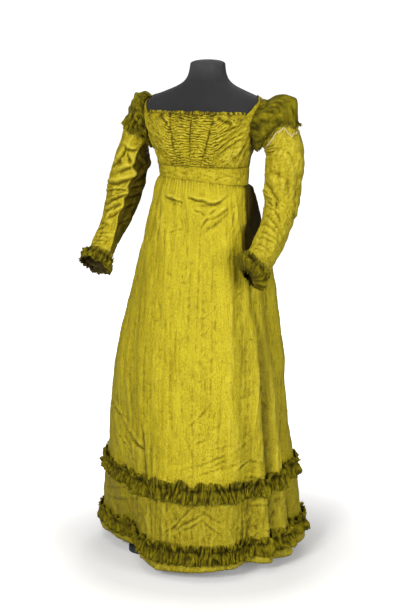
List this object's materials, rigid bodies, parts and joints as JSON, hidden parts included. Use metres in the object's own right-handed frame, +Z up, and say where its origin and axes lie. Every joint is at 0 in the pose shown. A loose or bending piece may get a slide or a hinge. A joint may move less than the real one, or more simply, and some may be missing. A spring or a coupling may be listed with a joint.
{
  "type": "regency gown on a dress form",
  "caption": "Long high-waisted gown with a ruched bodice, long sleeves with gauze over-sleeves, and gauze ruffles round the hem, standing on a limbless dress form.",
  "frame": {"origin": "on the floor, on the underside of the foot, under the middle of the dress form", "axes": "+Z up; the gown faces -Y; its own left side is +X"},
  "size_m": [0.663, 0.6542, 1.457],
  "materials": {
    "silk": "crisp golden silk with a soft sheen and fine creases",
    "gauze": "matt pleated olive gauze with pinked edges",
    "form_cover": "matt charcoal jersey",
    "stand_metal": "satin dark blue-grey paint"
  },
  "bodies": {
    "root": {"bodice_centre_front": "silk", "bodice_side_front_left": "silk", "bodice_side_front_right": "silk", "bodice_back_left": "silk", "bodice_back_right": "silk", "neckline_casing": "silk", "waistband": "silk", "skirt_front": "silk", "skirt_side_left": "silk", "skirt_side_right": "silk", "skirt_back": "silk", "sleeve_left": "silk", "sleeve_right": "silk", "hem_ruffle_upper": "gauze", "hem_ruffle_lower": "gauze", "puff_left": "gauze", "puff_right": "gauze", "cuff_ruffle_left": "gauze", "cuff_ruffle_right": "gauze", "dress_form": "form_cover", "stand_pole": "stand_metal", "stand_base": "stand_metal"}
  },
  "joints": []
}
